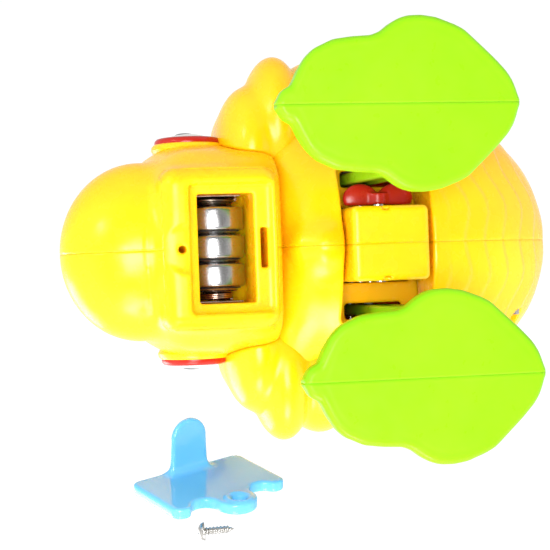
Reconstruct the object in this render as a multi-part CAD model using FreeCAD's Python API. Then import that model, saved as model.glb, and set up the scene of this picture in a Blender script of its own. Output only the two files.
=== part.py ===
import FreeCAD, Part
import math
import os

V = FreeCAD.Vector

# A wind-up hopping chicken, standing on its feet: +Z up, the bill points to -Y, the chicken's
# left is +X. The origin is on the floor, midway between the feet. Millimetres.

# ---- driving dimensions ----
WALL = 1.8                      # moulded shell
FIT = 0.05                      # radial clearance of a running fit
NECK_Y = -16.5                  # plane where the head meets the body

HEAD_CENTRE, HEAD_SEMI = (0, -30, 44), (21, 19, 22)
BILL_CENTRE, BILL_SEMI = (0, -42, 35), (18.2, 15.5, 13)
BODY_CENTRE, BODY_SEMI = (0, 10, 46), (30, 33, 27)
CHEST_BOSS_AT, CHEST_BOSS_SEMI = (0, -9.8, 22.6), (3.8, 3.9, 2.6)
WING_AT, WING_SEMI, WING_SWEEP, WING_PITCH = (28.4, -2.0, 45.5), (9.5, 24, 13), 13, 12
TAIL_AT, TAIL_SEMI, TAIL_LEAN = (0, 34.5, 66), (6.5, 9, 19), -24
COMB_LOBES, COMB_T = ((5.0, -38.0, 63.5), (6.2, -30.0, 67.5), (5.0, -22.0, 64.0)), 4.4   # radius, Y, Z

EYE_Y, EYE_Z, EYE_FACE = -31, 42, 21.3          # middle of an eye, and how far out its socket's face is
SOCKET_R, RING_R, RING_BORE, RING_T, PUPIL_R = 7.3, 6.6, 4.6, 1.2, 2.0

BOX_X, BOX_Y0, BOX_Y1 = 15.2, -39.7, -17.5      # battery box under the head
BOX_Z0, BOX_Z1 = 20.0, 37.2
BAY_X, BAY_Y0, BAY_Y1, BAY_TOP = 10.3, -33.7, -21.6, 35.8
BAY_UNDERCUT, BAY_LIP = 0.9, 1.6                # the bay reaches under its front lip
RECESS_X, RECESS_Y0, RECESS_Y1, RECESS_DEPTH = 12.1, -34.4, -18.6, 2.1
CELL_R, CELL_T, CELLS = 5.8, 5.4, 3
CELL_Y, CELL_Z = -28.5, 29.6

SCREW_PLACES = ((-11.0, 57.0), (30.0, 62.0), (32.0, 33.0))   # Y and Z of the body's screws
WELL_X, WELL_Y0, WELL_Y1, WELL_TOP = 15.6, -4.8, 12.2, 31.0   # belly well around the motor
CASE_X, CASE_Y0, CASE_Y1, CASE_Z0, CASE_Z1, CASE_WALL = 7.1, -4.2, 10.8, 17.0, 55.0, 0.9

SHAFT_Y = 3.3                                   # all the train's shafts lie along X at this Y
WINDER_Z, IDLER_Z, CRANK_Z, GOVERNOR_Z = 26.0, 33.5, 41.0, 47.5
MODULE, PRESSURE_DEG = 0.5, 25.0
ADDENDUM, DEDENDUM, BACKLASH = 0.36, 0.52, 0.07
BIG_TEETH, PINION_TEETH, CRANK_GEAR_TEETH = 22, 8, 18

THROW = 1.6                                     # crank eccentricity, half of a foot's travel
LEG_X0, LEG_X1, LEG_WIDE, LEG_TOP = 11.9, 14.1, 7.0, 54.5
PIN_R, GUIDE_R, GUIDE_Z = 0.9, 1.0, 50.0

FOOT_X, FOOT_Y, FOOT_LONG, FOOT_HIGH = 24.5, 2.6, 45.0, 7.0
FOOT_FACETS = 40                                # points round the curved side of a half foot
# half width of a sole at a share of its length from the toe tip
FOOT_OUTLINE = ((0.012, 2.4), (0.06, 4.0), (0.10, 7.0), (0.158, 9.9), (0.235, 11.5), (0.39, 12.3),
                (0.467, 14.2), (0.56, 15.8), (0.66, 15.3), (0.775, 13.3), (0.853, 10.0), (0.95, 5.6))

COVER_X, COVER_Y, COVER_T = 11.8, 7.6, 2.0      # half width, half depth, thickness
TAB_R, TONGUE_X, TONGUE_T, TONGUE_H = 3.7, 3.6, 1.1, 10.0
COVER_ROUND = 1.6                               # corner radius of the plate
COVER_NOTCH_R, COVER_NOTCH_X = 2.6, 6.3          # a hollow in the front edge on each side of the tab
LOOSE_COVER_AT = (-41.8, -34.2)                 # where the middle of the loose cover is
LOOSE_COVER_LEAN, LOOSE_COVER_HEADING = 74.0, 179.0
LOOSE_SCREW_AT, LOOSE_SCREW_TURN = (-49.3, -36.8), 3.0
SCREW_HEAD_R, SCREW_HEAD_T, SCREW_SHANK_R, SCREW_LONG = 1.6, 1.2, 0.7, 5.2


# ---- plain solids ----
def block(x0, x1, y0, y1, z0, z1):
    return Part.makeBox(x1 - x0, y1 - y0, z1 - z0, V(x0, y0, z0))


def rod_x(r, x0, x1, y=SHAFT_Y, z=0.0):
    lo, hi = min(x0, x1), max(x0, x1)
    return Part.makeCylinder(r, hi - lo, V(lo, y, z), V(1, 0, 0))


def rod_z(r, x, y, z0, z1):
    return Part.makeCylinder(r, z1 - z0, V(x, y, z0), V(0, 0, 1))


def egg(centre, semi, grow=0.0):
    m = FreeCAD.Matrix()
    m.scale(semi[0] + grow, semi[1] + grow, semi[2] + grow)
    shape = Part.makeSphere(1.0).transformGeometry(m)
    shape.translate(V(*centre))
    return shape


def half(side, x=0.0):
    """Everything on one side of the plane at x: side 1 is the chicken's left."""
    return block(x, 100, -100, 100, -20, 120) if side > 0 else block(-100, -x, -100, 100, -20, 120)


def rounded_block(x, y0, y1, z0, z1, r):
    """A block with its four upright edges rounded."""
    shape = block(-x, x, y0, y1, z0, z1)
    upright = [e for e in shape.Edges if abs(e.tangentAt(e.FirstParameter).z) > 0.99]
    return shape.makeFillet(r, upright)


def group(solids):
    return Part.makeCompound(solids)


def mirrored(shape, side):
    return shape if side > 0 else shape.mirror(V(0, 0, 0), V(1, 0, 0))


SIDES = (("left", 1), ("right", -1))
nodes = {}


# ---- head ----
def head_outside(grow=0.0):
    front = block(-100, 100, -100, NECK_Y, -20, 120)
    return egg(HEAD_CENTRE, HEAD_SEMI, grow).fuse(egg(BILL_CENTRE, BILL_SEMI, grow)).common(front)


def head_shells():
    hollow = head_outside().cut(head_outside(-WALL))
    box = rounded_block(BOX_X, BOX_Y0, BOX_Y1, BOX_Z0 - 9, BOX_Z1, 3.0)
    shell = hollow.cut(box).common(half(1))
    for name, side in SIDES:
        nodes["head_shell_" + name] = mirrored(shell, side)


def battery_box():
    shape = rounded_block(BOX_X, BOX_Y0, BOX_Y1, BOX_Z0, BOX_Z1, 3.0)
    shape = shape.cut(block(-RECESS_X, RECESS_X, RECESS_Y0, RECESS_Y1, BOX_Z0 - 1, BOX_Z0 + RECESS_DEPTH))
    shape = shape.cut(rod_z(TAB_R + 0.2, 0, RECESS_Y0 - 0.8, BOX_Z0 - 1, BOX_Z0 + RECESS_DEPTH))
    shape = shape.cut(block(-BAY_X, BAY_X, BAY_Y0, BAY_Y1, BOX_Z0, BAY_TOP))
    lip_top = BOX_Z0 + RECESS_DEPTH + BAY_LIP
    shape = shape.cut(block(-BAY_X, BAY_X, BAY_Y0 - BAY_UNDERCUT, BAY_Y1, lip_top, BAY_TOP))
    shape = shape.cut(rod_z(SCREW_SHANK_R, 0, RECESS_Y0 - 1.6, BOX_Z0, BOX_Z0 + 8))
    slot_y = (RECESS_Y1 + BAY_Y1) / 2
    shape = shape.cut(block(-TONGUE_X - 0.2, TONGUE_X + 0.2, slot_y - 0.75, slot_y + 0.75, BOX_Z0, BAY_TOP))
    nodes["battery_box"] = shape
    first = -CELL_T * (CELLS - 1) / 2
    for i in range(CELLS):
        x = first + CELL_T * i
        nodes["battery_cell_%d" % (i + 1)] = rod_x(CELL_R, x - CELL_T / 2, x + CELL_T / 2, CELL_Y, CELL_Z)


def contact_springs():
    """A plate on each end wall of the bay and rings of wire that press on the cells."""
    stack_end, wire = CELLS * CELL_T / 2, 0.42
    for name, side, radii in (("left", 1, (4.0, 3.4, 2.8)), ("right", -1, (3.0, 3.0, 3.0))):
        shape = block(BAY_X - 0.45, BAY_X - 0.05, CELL_Y - 4.6, CELL_Y + 4.6, CELL_Z - 5, CELL_Z + 5)
        for i, r in enumerate(radii):
            x = BAY_X - 0.4 - wire * (0.9 + 1.2 * i)
            shape = shape.fuse(Part.makeTorus(r, wire, V(x, CELL_Y, CELL_Z), V(1, 0, 0)))
        shape = shape.common(block(stack_end, BAY_X, BAY_Y0, BAY_Y1, BOX_Z0, BAY_TOP))
        nodes["contact_spring_" + name] = mirrored(shape, side)


def eyes():
    ball_r, ball_high = RING_BORE - 0.1, 2.0
    for name, side in SIDES:
        socket = rod_x(SOCKET_R, 12.0, EYE_FACE, EYE_Y, EYE_Z).cut(head_outside())
        ring = rod_x(RING_R, EYE_FACE, EYE_FACE + RING_T, EYE_Y, EYE_Z)
        ring = ring.cut(rod_x(RING_BORE, EYE_FACE - 1, EYE_FACE + 2, EYE_Y, EYE_Z))
        ball = egg((EYE_FACE, EYE_Y, EYE_Z), (ball_high, ball_r, ball_r)).common(half(1, EYE_FACE))
        pupil = rod_x(PUPIL_R, EYE_FACE + 0.05, EYE_FACE + ball_high + 0.25, EYE_Y, EYE_Z)
        nodes["eye_socket_" + name] = mirrored(socket, side)
        nodes["eye_ring_" + name] = mirrored(ring, side)
        nodes["eyeball_" + name] = mirrored(ball.cut(pupil), side)
        nodes["pupil_" + name] = mirrored(pupil, side)


def comb():
    shape = None
    for r, y, z in COMB_LOBES:
        lobe = rod_x(r, -COMB_T / 2, COMB_T / 2, y, z)
        shape = lobe if shape is None else shape.fuse(lobe)
    nodes["comb"] = shape.cut(egg(HEAD_CENTRE, HEAD_SEMI)).Solids[0]


def electronics():
    z = BOX_Z1 + 1.0
    nodes["circuit_board"] = block(-11, 11, -38, -22, z, z + 1.2)
    nodes["buzzer"] = rod_z(6.0, 0, -29, z + 1.2, z + 6.2)
    nodes["tilt_switch"] = rod_z(1.4, 8.3, -24.6, z + 1.2, z + 8.0)
    for name, side in SIDES:
        lamp = rod_z(1.5, 8.3 * side, -35.3, z + 1.2, z + 4.7)
        nodes["led_" + name] = lamp.fuse(Part.makeSphere(1.5, V(8.3 * side, -35.3, z + 4.7)))
    nodes["board_posts"] = group([block(x - 1, x + 1, y - 1, y + 1, BOX_Z1, z)
                                  for x in (-9, 9) for y in (-30.5, -28.5)])


# ---- body ----
def body_outside(grow=0.0):
    behind = block(-100, 100, NECK_Y, 100, -20, 120)
    return egg(BODY_CENTRE, BODY_SEMI, grow).common(behind)


def body_shells():
    well_wall = 1.2
    solid_body = body_outside()
    well = block(-WELL_X - well_wall, WELL_X + well_wall, WELL_Y0 - well_wall, WELL_Y1 + well_wall,
                 0, WELL_TOP).common(solid_body)
    chest_boss = egg(CHEST_BOSS_AT, CHEST_BOSS_SEMI).cut(body_outside(-WALL))
    post = block(-5, 5, SHAFT_Y - 3.5, SHAFT_Y + 3.5, CASE_Z1, 80).common(solid_body)
    shell = solid_body.cut(body_outside(-WALL)).fuse(well).fuse(post).fuse(chest_boss)
    shell = shell.cut(block(-WELL_X, WELL_X, WELL_Y0, WELL_Y1, 0, WELL_TOP + 1)).common(half(1))
    for y, z in SCREW_PLACES:
        shell = shell.fuse(rod_x(2.8, 0, 40, y, z).common(body_outside(-0.4)))
    for name, side in SIDES:
        nodes["body_shell_" + name] = mirrored(shell, side)


def shell_screws():
    """Long screws through the right half's pillars into the left's."""
    holes, screws = [], []
    for y, z in SCREW_PLACES:
        dy, dz = (y - BODY_CENTRE[1]) / BODY_SEMI[1], (z - BODY_CENTRE[2]) / BODY_SEMI[2]
        seat = -BODY_SEMI[0] * math.sqrt(1 - dy * dy - dz * dz) + 3.4
        tip = 6.0
        holes.append(rod_x(0.9, seat, tip, y, z).fuse(rod_x(1.9, -40, seat, y, z)))
        screws.append(rod_x(1.9, seat - 1.2, seat, y, z).fuse(rod_x(0.9, seat, tip, y, z)))
    for hole in holes:
        for name, side in SIDES:
            nodes["body_shell_" + name] = nodes["body_shell_" + name].cut(hole)
    nodes["shell_screws"] = group(screws)


def wings_and_tail():
    body = egg(BODY_CENTRE, BODY_SEMI).fuse(egg(HEAD_CENTRE, HEAD_SEMI, 0.1))
    for name, side in SIDES:
        wing = egg((0, 0, 0), WING_SEMI)
        wing.rotate(V(0, 0, 0), V(0, 0, 1), WING_SWEEP)
        wing.rotate(V(0, 0, 0), V(1, 0, 0), WING_PITCH)
        wing.translate(V(*WING_AT))
        cut = wing.cut(body)
        piece = max(cut.Solids, key=lambda s: s.Volume)
        nodes["wing_" + name] = mirrored(piece, side)
    tail = egg((0, 0, 0), TAIL_SEMI)
    tail.rotate(V(0, 0, 0), V(1, 0, 0), TAIL_LEAN)
    tail.translate(V(*TAIL_AT))
    nodes["tail"] = max(tail.cut(body).Solids, key=lambda s: s.Volume)


# ---- clockwork ----
def gear_wire(teeth, tooth_up):
    """Involute outline in the YZ plane about (0, 0). A tooth points to +Z, or a gap if not."""
    pitch = MODULE * teeth / 2
    base = pitch * math.cos(math.radians(PRESSURE_DEG))
    top, root = pitch + ADDENDUM, pitch - DEDENDUM
    involute = math.tan(math.radians(PRESSURE_DEG)) - math.radians(PRESSURE_DEG)
    half_tooth = math.pi / (2 * teeth) - BACKLASH / (2 * pitch) + involute
    start = max(base, root)
    flank = []
    for i in range(4):
        r = start + (top - start) * i / 3
        a = math.acos(min(1.0, base / r))
        flank.append((r, half_tooth - (math.tan(a) - a)))
    if root < start:
        flank.insert(0, (root, flank[0][1]))
    outline = []
    for k in range(teeth):
        centre = 2 * math.pi * (k + (0.0 if tooth_up else 0.5)) / teeth
        outline += [(r, centre - a) for r, a in flank]
        outline += [(r, centre + a) for r, a in reversed(flank)]
    points = [V(0, r * math.sin(a), r * math.cos(a)) for r, a in outline]
    return Part.makePolygon(points + points[:1])


def gear(teeth, x0, x1, z, tooth_up, bore):
    face = Part.Face(gear_wire(teeth, tooth_up))
    shape = face.extrude(V(x1 - x0, 0, 0))
    shape.translate(V(x0, SHAFT_Y, z))
    return shape.cut(rod_x(bore, x0 - 1, x1 + 1, SHAFT_Y, z))


def motor_case():
    outside = rounded_block(CASE_X, CASE_Y0, CASE_Y1, CASE_Z0, CASE_Z1, 1.6)
    w = CASE_WALL
    inside = block(-CASE_X + w, CASE_X - w, CASE_Y0 + w, CASE_Y1 - w, CASE_Z0 + w, CASE_Z1 - w)
    case = outside.cut(inside)
    for z, r in ((WINDER_Z, 1.5), (CRANK_Z, 1.2), (IDLER_Z, 0.7), (GOVERNOR_Z, 0.6)):
        case = case.cut(rod_x(r + FIT, -CASE_X - 1, CASE_X + 1, SHAFT_Y, z))
    case = case.cut(rod_x(GUIDE_R, -CASE_X - 1, CASE_X + 1, SHAFT_Y, GUIDE_Z))
    screws = []
    for y, z in ((CASE_Y0 + 2.1, CASE_Z0 + 2.1), (CASE_Y1 - 2.1, CASE_Z1 - 2.1)):
        case = case.fuse(rod_x(1.5, -CASE_X + w, CASE_X - w, y, z))
        case = case.cut(rod_x(0.6, -CASE_X + 1, CASE_X + 1, y, z))
        case = case.cut(rod_x(1.1, CASE_X - 0.6, CASE_X + 1, y, z))
        head, shank = rod_x(1.1, CASE_X - 0.6, CASE_X, y, z), rod_x(0.6, -CASE_X + 1, CASE_X - 0.6, y, z)
        screws.append(head.fuse(shank))
    for name, side in SIDES:
        nodes["motor_case_" + name] = case.common(half(side))
    nodes["case_screws"] = group(screws)
    pins = [rod_x(GUIDE_R, side * (CASE_X - w), side * (LEG_X1 + 0.9), SHAFT_Y, GUIDE_Z) for _, side in SIDES]
    nodes["guide_pins"] = group(pins)


def winder():
    nodes["winding_arbor"] = rod_x(1.5, -CASE_X - 0.2, 8.6, SHAFT_Y, WINDER_Z)
    nodes["great_gear"] = gear(BIG_TEETH, 0.2, 2.0, WINDER_Z, True, 1.5)
    turns = []
    for r in (2.5, 3.4, 4.3, 5.2):
        turn = rod_x(r + 0.2, -5.6, -0.6, SHAFT_Y, WINDER_Z)
        turns.append(turn.cut(rod_x(r - 0.2, -6, 0, SHAFT_Y, WINDER_Z)))
    link = block(-5.6, -0.6, SHAFT_Y - 0.2, SHAFT_Y + 0.2, WINDER_Z + 1.45, WINDER_Z + 5.2)
    link = link.cut(rod_x(1.5, -7, 1, SHAFT_Y, WINDER_Z))
    spring = link
    for t in turns:
        spring = spring.fuse(t)
    nodes["mainspring"] = spring
    hub = rod_x(2.1, 8.0, 9.6, SHAFT_Y, WINDER_Z)
    key = hub
    for sign in (-1, 1):
        lobe = Part.makeCylinder(3.2, 1.6, V(9.0, SHAFT_Y + sign * 3.6, WINDER_Z - 0.8), V(0, 0, 1))
        key = key.fuse(lobe)
    key = key.common(block(8.0, 11.5, SHAFT_Y - 7, SHAFT_Y + 7, WINDER_Z - 3, WINDER_Z + 3))
    nodes["winding_key"] = key.cut(rod_x(1.5, 7, 8.6, SHAFT_Y, WINDER_Z))


def idler():
    nodes["idler_axle"] = rod_x(0.7, -CASE_X - 0.3, CASE_X + 0.3, SHAFT_Y, IDLER_Z)
    nodes["idler_pinion"] = gear(PINION_TEETH, 0.0, 2.3, IDLER_Z, False, 0.7)
    nodes["idler_gear"] = gear(BIG_TEETH, 2.6, 4.4, IDLER_Z, True, 0.7)


def crank():
    disc_x0, disc_x1 = CASE_X + 0.4, CASE_X + 2.2
    nodes["crank_shaft"] = rod_x(1.2, -disc_x1, disc_x1, SHAFT_Y, CRANK_Z)
    nodes["crank_pinion"] = gear(PINION_TEETH, 2.4, 4.6, CRANK_Z, False, 1.2)
    nodes["crank_gear"] = gear(CRANK_GEAR_TEETH, -2.6, -0.8, CRANK_Z, True, 1.2)
    for name, side in SIDES:
        pin_y = SHAFT_Y - side * THROW
        disc = rod_x(3.4, side * disc_x0, side * disc_x1, SHAFT_Y, CRANK_Z)
        disc = disc.cut(rod_x(1.2, -20, 20, SHAFT_Y, CRANK_Z))
        pin = rod_x(PIN_R, side * disc_x1, side * (LEG_X1 + 1.1), pin_y, CRANK_Z)
        cap = rod_x(1.9, side * (LEG_X1 + 0.3), side * (LEG_X1 + 1.1), pin_y, CRANK_Z)
        nodes["crank_disc_" + name] = disc.fuse(pin)
        nodes["leg_retainer_" + name] = cap.cut(pin)


def governor():
    nodes["governor_axle"] = rod_x(0.6, -CASE_X - 0.3, CASE_X + 0.3, SHAFT_Y, GOVERNOR_Z)
    nodes["governor_pinion"] = gear(PINION_TEETH, -2.8, -0.6, GOVERNOR_Z, False, 0.6)
    arm = block(-5.6, -3.4, SHAFT_Y - 2.9, SHAFT_Y + 2.9, GOVERNOR_Z - 1.0, GOVERNOR_Z + 1.0)
    for sign in (-1, 1):
        arm = arm.fuse(rod_x(1.1, -5.6, -3.4, SHAFT_Y + sign * 1.8, GOVERNOR_Z))
    nodes["governor_weights"] = arm.cut(rod_x(0.6, -8, 8, SHAFT_Y, GOVERNOR_Z))


# ---- legs and feet ----
def half_foot_wire(inset, z, side):
    """Outline of one half of a sole: straight on the centre line, curved outside."""
    def y(share):
        return -FOOT_LONG / 2 + inset + share * (FOOT_LONG - 2 * inset)
    curve = [V(0, y(0), z)]
    curve += [V(side * (w - inset), y(s), z) for s, w in FOOT_OUTLINE]
    curve += [V(0, y(1), z)]
    spline = Part.BSplineCurve()
    spline.interpolate(curve)
    return Part.makePolygon(spline.discretize(Number=FOOT_FACETS) + curve[:1])


def legs_and_feet():
    levels = ((0.9, 0.0), (0.0, 1.8), (0.0, 4.2), (1.0, 6.2), (2.4, FOOT_HIGH))
    for name, side in SIDES:
        shift = -side * THROW
        leg_y = SHAFT_Y + shift
        lo, hi = min(side * LEG_X0, side * LEG_X1), max(side * LEG_X0, side * LEG_X1)
        leg = block(lo, hi, leg_y - LEG_WIDE / 2, leg_y + LEG_WIDE / 2, 2.2, LEG_TOP)
        ends = [e for e in leg.Edges if abs(e.tangentAt(e.FirstParameter).x) > 0.99 and e.CenterOfMass.z > 40]
        leg = leg.makeFillet(2.4, ends)
        leg = leg.cut(rod_x(PIN_R + FIT, lo - 1, hi + 1, leg_y, CRANK_Z))
        leg = leg.cut(rod_x(GUIDE_R + THROW + 0.3, lo - 1, hi + 1, leg_y, GUIDE_Z))
        nodes["leg_" + name] = leg
        for half_name, out in (("outer", side), ("inner", -side)):
            wires = [half_foot_wire(inset, z, out) for inset, z in levels]
            foot = Part.makeLoft(wires, True, True)
            foot.translate(V(side * FOOT_X, FOOT_Y + shift, 0))
            if half_name == "inner":
                foot = foot.cut(block(lo, hi, leg_y - LEG_WIDE / 2, leg_y + LEG_WIDE / 2, 2.2, LEG_TOP))
            nodes["foot_%s_%s" % (name, half_name)] = foot


# ---- loose cover and screw ----
def battery_cover():
    """Made inner face down about its own middle, then stood up steeply on its tab and a corner."""
    plate = rounded_block(COVER_X, -COVER_Y, COVER_Y, 0, COVER_T, COVER_ROUND)
    tab_y = -COVER_Y - 0.8
    tab = rod_z(TAB_R, 0, tab_y, 0, COVER_T)
    tongue_y = COVER_Y - 0.65
    stem = TONGUE_H - TONGUE_X
    tongue = block(-TONGUE_X, TONGUE_X, tongue_y - TONGUE_T, tongue_y, -stem, 0)
    tip = Part.makeCylinder(TONGUE_X, TONGUE_T, V(0, tongue_y - TONGUE_T, -stem), V(0, 1, 0))
    for side in SIDES:
        notch = rod_z(COVER_NOTCH_R, side[1] * COVER_NOTCH_X, -COVER_Y - 0.6, -1, COVER_T + 1)
        plate = plate.cut(notch)
    shape = plate.fuse(tab).fuse(tongue).fuse(tip).cut(rod_z(1.2, 0, tab_y - 0.8, -1, COVER_T + 1))
    across, along = COVER_X - COVER_ROUND, COVER_ROUND - COVER_Y - tab_y
    rise = math.atan2(along, across) + math.asin((TAB_R - COVER_ROUND) / math.hypot(across, along))
    shape.rotate(V(0, 0, 0), V(0, 0, 1), 90 - math.degrees(rise))
    shape.rotate(V(0, 0, 0), V(0, 1, 0), LOOSE_COVER_LEAN)
    shape.rotate(V(0, 0, 0), V(0, 0, 1), LOOSE_COVER_HEADING)
    shape.translate(V(LOOSE_COVER_AT[0], LOOSE_COVER_AT[1], -shape.optimalBoundingBox().ZMin))
    nodes["battery_cover"] = shape


def cover_screw():
    head = Part.makeCone(SCREW_HEAD_R, SCREW_HEAD_R * 0.75, SCREW_HEAD_T, V(0, 0, 0), V(0, -1, 0))
    slot = block(-3, 3, -SCREW_HEAD_T - 1, -SCREW_HEAD_T + 0.5, -0.25, 0.25)
    shank = Part.makeCylinder(SCREW_SHANK_R, SCREW_LONG, V(0, 0, 0), V(0, 1, 0))
    shape = head.cut(slot).fuse(shank)
    droop = math.degrees(math.atan2(SCREW_HEAD_R - SCREW_SHANK_R, SCREW_LONG))
    shape.rotate(V(0, 0, 0), V(1, 0, 0), -droop)
    shape.translate(V(0, 0, -shape.optimalBoundingBox().ZMin))
    shape.rotate(V(0, 0, 0), V(0, 0, 1), -LOOSE_SCREW_TURN)
    shape.translate(V(LOOSE_SCREW_AT[0], LOOSE_SCREW_AT[1], 0))
    nodes["cover_screw"] = shape


def build():
    head_shells()
    battery_box()
    contact_springs()
    eyes()
    comb()
    electronics()
    body_shells()
    shell_screws()
    wings_and_tail()
    motor_case()
    winder()
    idler()
    crank()
    governor()
    legs_and_feet()
    battery_cover()
    cover_screw()
    os.makedirs("parts", exist_ok=True)
    for name, shape in nodes.items():
        shape.exportStep("parts/%s.step" % name)
        print("%-20s %2d solid(s) %9.1f mm3" % (name, len(shape.Solids), shape.Volume), shape.isValid())


build()
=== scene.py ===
import math

import bpy
import numpy as np
from mathutils import Matrix, Vector


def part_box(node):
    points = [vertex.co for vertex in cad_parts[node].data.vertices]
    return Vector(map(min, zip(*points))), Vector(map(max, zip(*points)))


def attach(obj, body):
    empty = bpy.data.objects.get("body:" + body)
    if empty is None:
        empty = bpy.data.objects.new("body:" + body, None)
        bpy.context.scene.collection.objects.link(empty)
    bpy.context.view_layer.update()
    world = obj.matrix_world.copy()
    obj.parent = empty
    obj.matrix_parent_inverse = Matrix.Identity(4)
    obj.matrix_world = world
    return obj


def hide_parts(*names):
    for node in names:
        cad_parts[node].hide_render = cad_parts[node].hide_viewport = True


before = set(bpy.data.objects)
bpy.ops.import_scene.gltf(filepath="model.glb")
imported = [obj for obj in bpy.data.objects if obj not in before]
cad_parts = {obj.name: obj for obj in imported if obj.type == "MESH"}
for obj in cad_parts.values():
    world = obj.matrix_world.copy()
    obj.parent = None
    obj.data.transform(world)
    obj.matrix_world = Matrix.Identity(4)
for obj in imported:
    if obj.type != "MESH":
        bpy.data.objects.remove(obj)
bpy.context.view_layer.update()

# Shapes are worked out in millimetres and scaled to metres when a mesh is made.
MM = 0.001
FINE = 0.42          # grid step of the larger sculpted pieces
PLATE_STEP, KEY_STEP, COVER_STEP, SCREW_STEP = 0.2, 0.3, 0.35, 0.13
SIDES = (("left", 1), ("right", -1))
SEAM = 0.004                      # half of the hairline between two moulded halves
GROOVE_DEEP, GROOVE_WIDE = 0.05, 0.3        # the soft hollow along the seams of head and body
SHELL, CASE_WALL = 1.8, 0.9       # walls of a moulded shell and of the clockwork case
TOUCH = 0.02                      # how far trim reaches into what it sits on
COLLECTION = bpy.context.scene.collection


# ---------------------------------------------------------------- places from the frame
def corners(node):
    lo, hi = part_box(node)
    return np.array(lo) / MM, np.array(hi) / MM


def middle(node):
    lo, hi = corners(node)
    return (lo + hi) / 2


HEAD_LO, HEAD_HI = corners("head_shell_left")
BODY_LO, BODY_HI = corners("body_shell_left")
PANEL_LO, PANEL_HI = corners("battery_box")
CASE_LO, CASE_HI = corners("motor_case_left")
NECK_Y = HEAD_HI[1]
NECK_GAP = 0.05                   # half of the joint between head and body
# Centres and half axes of head, bill and body: as in part.py, but the bill's half width is 1 mm less.
HEAD_R, BILL_R = np.array([21.0, 19.0, 22.0]), np.array([17.2, 15.5, 13.0])
HEAD_C = np.array([0.0, NECK_Y - 13.5, HEAD_HI[2] - HEAD_R[2]])
BILL_C = np.array([0.0, HEAD_LO[1] + BILL_R[1], HEAD_LO[2] + BILL_R[2]])
BODY_R = np.array([BODY_HI[0], 33.0, (BODY_HI[2] - BODY_LO[2]) / 2])
BODY_C = np.array([0.0, BODY_HI[1] - BODY_R[1], BODY_HI[2] - BODY_R[2]])
SHAFT_Y = middle("crank_shaft")[1]
CRANK_Z, WINDER_Z = middle("crank_shaft")[2], middle("winding_arbor")[2]


# ---------------------------------------------------------------- distance fields
def ellipsoid(x, y, z, c, r):
    """Near the surface, about the distance to it; c is the centre and r the half axes."""
    px, py, pz = x - c[0], y - c[1], z - c[2]
    k0 = np.sqrt((px / r[0]) ** 2 + (py / r[1]) ** 2 + (pz / r[2]) ** 2)
    k1 = np.sqrt((px / r[0] ** 2) ** 2 + (py / r[1] ** 2) ** 2 + (pz / r[2] ** 2) ** 2)
    return k0 * (k0 - 1) / np.maximum(k1, 1e-6)


def rounded_box(x, y, z, lo, hi, r):
    qx = np.abs(x - (lo[0] + hi[0]) / 2) - (hi[0] - lo[0]) / 2 + r
    qy = np.abs(y - (lo[1] + hi[1]) / 2) - (hi[1] - lo[1]) / 2 + r
    qz = np.abs(z - (lo[2] + hi[2]) / 2) - (hi[2] - lo[2]) / 2 + r
    out = np.sqrt(np.maximum(qx, 0) ** 2 + np.maximum(qy, 0) ** 2 + np.maximum(qz, 0) ** 2)
    return out + np.minimum(np.maximum(qx, np.maximum(qy, qz)), 0) - r


def capsule(x, y, z, a, b, r):
    ax, ay, az = b[0] - a[0], b[1] - a[1], b[2] - a[2]
    long2 = ax * ax + ay * ay + az * az
    t = np.clip(((x - a[0]) * ax + (y - a[1]) * ay + (z - a[2]) * az) / long2, 0, 1)
    return np.sqrt((x - a[0] - t * ax) ** 2 + (y - a[1] - t * ay) ** 2 + (z - a[2] - t * az) ** 2) - r


def tube_x(x, y, z, yc, zc, r):
    """An endless round bar along X; the unused axis is added as zeros to keep the grid's shape."""
    return np.sqrt((y - yc) ** 2 + (z - zc) ** 2) - r + 0 * x


def tube_z(x, y, z, xc, yc, r):
    return np.sqrt((x - xc) ** 2 + (y - yc) ** 2) - r + 0 * z


def blend_min(a, b, k):
    """Union with a fillet about k wide."""
    h = np.maximum(k - np.abs(a - b), 0) / k
    return np.minimum(a, b) - h * h * k / 4


def blend_max(a, b, k):
    """Intersection with its edge rounded over about k."""
    return -blend_min(-a, -b, k)


def cut(a, b, k=0.3):
    """What is left of a when b is taken away, with its edge rounded over about k."""
    return blend_max(a, -b, k)


def turned(x, y, z, about, angles):
    """Coordinates in a frame centred at about and turned by degrees round X, then Y, then Z."""
    turn = Matrix.Rotation(math.radians(angles[2]), 3, "Z") @ Matrix.Rotation(math.radians(angles[1]), 3, "Y")
    m = np.array(turn @ Matrix.Rotation(math.radians(angles[0]), 3, "X"))
    px, py, pz = x - about[0], y - about[1], z - about[2]
    return tuple(m[0, i] * px + m[1, i] * py + m[2, i] * pz for i in range(3))


def blend_corner(a, b, r):
    """Intersection of two half-spaces with a true round of radius r between them."""
    qa, qb = np.maximum(a + r, 0), np.maximum(b + r, 0)
    return np.where((a + r > 0) & (b + r > 0), np.sqrt(qa * qa + qb * qb) - r, np.maximum(a, b))


def line_bump(distance, width):
    """1 on a line, falling away smoothly over width on both sides."""
    return np.exp(-(distance / width) ** 2)


def ramp(x, a, b):
    """0 below a, 1 above b, and smooth between them."""
    t = np.clip((x - a) / (b - a), 0, 1)
    return t * t * (3 - 2 * t)


def scallops(a, b, size):
    """Rows of overlapping rounded feathers: 1 at a feather's middle, falling to 0 at its edge."""
    row = np.floor(b / size)
    shift = 0.5 * np.mod(row, 2)
    da = a / size - shift
    da = da - np.round(da)
    db = b / size - row
    r = np.sqrt((da * 1.15) ** 2 + (db * 0.85) ** 2)
    return np.clip(1.05 - r, 0, 1) ** 0.5


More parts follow.
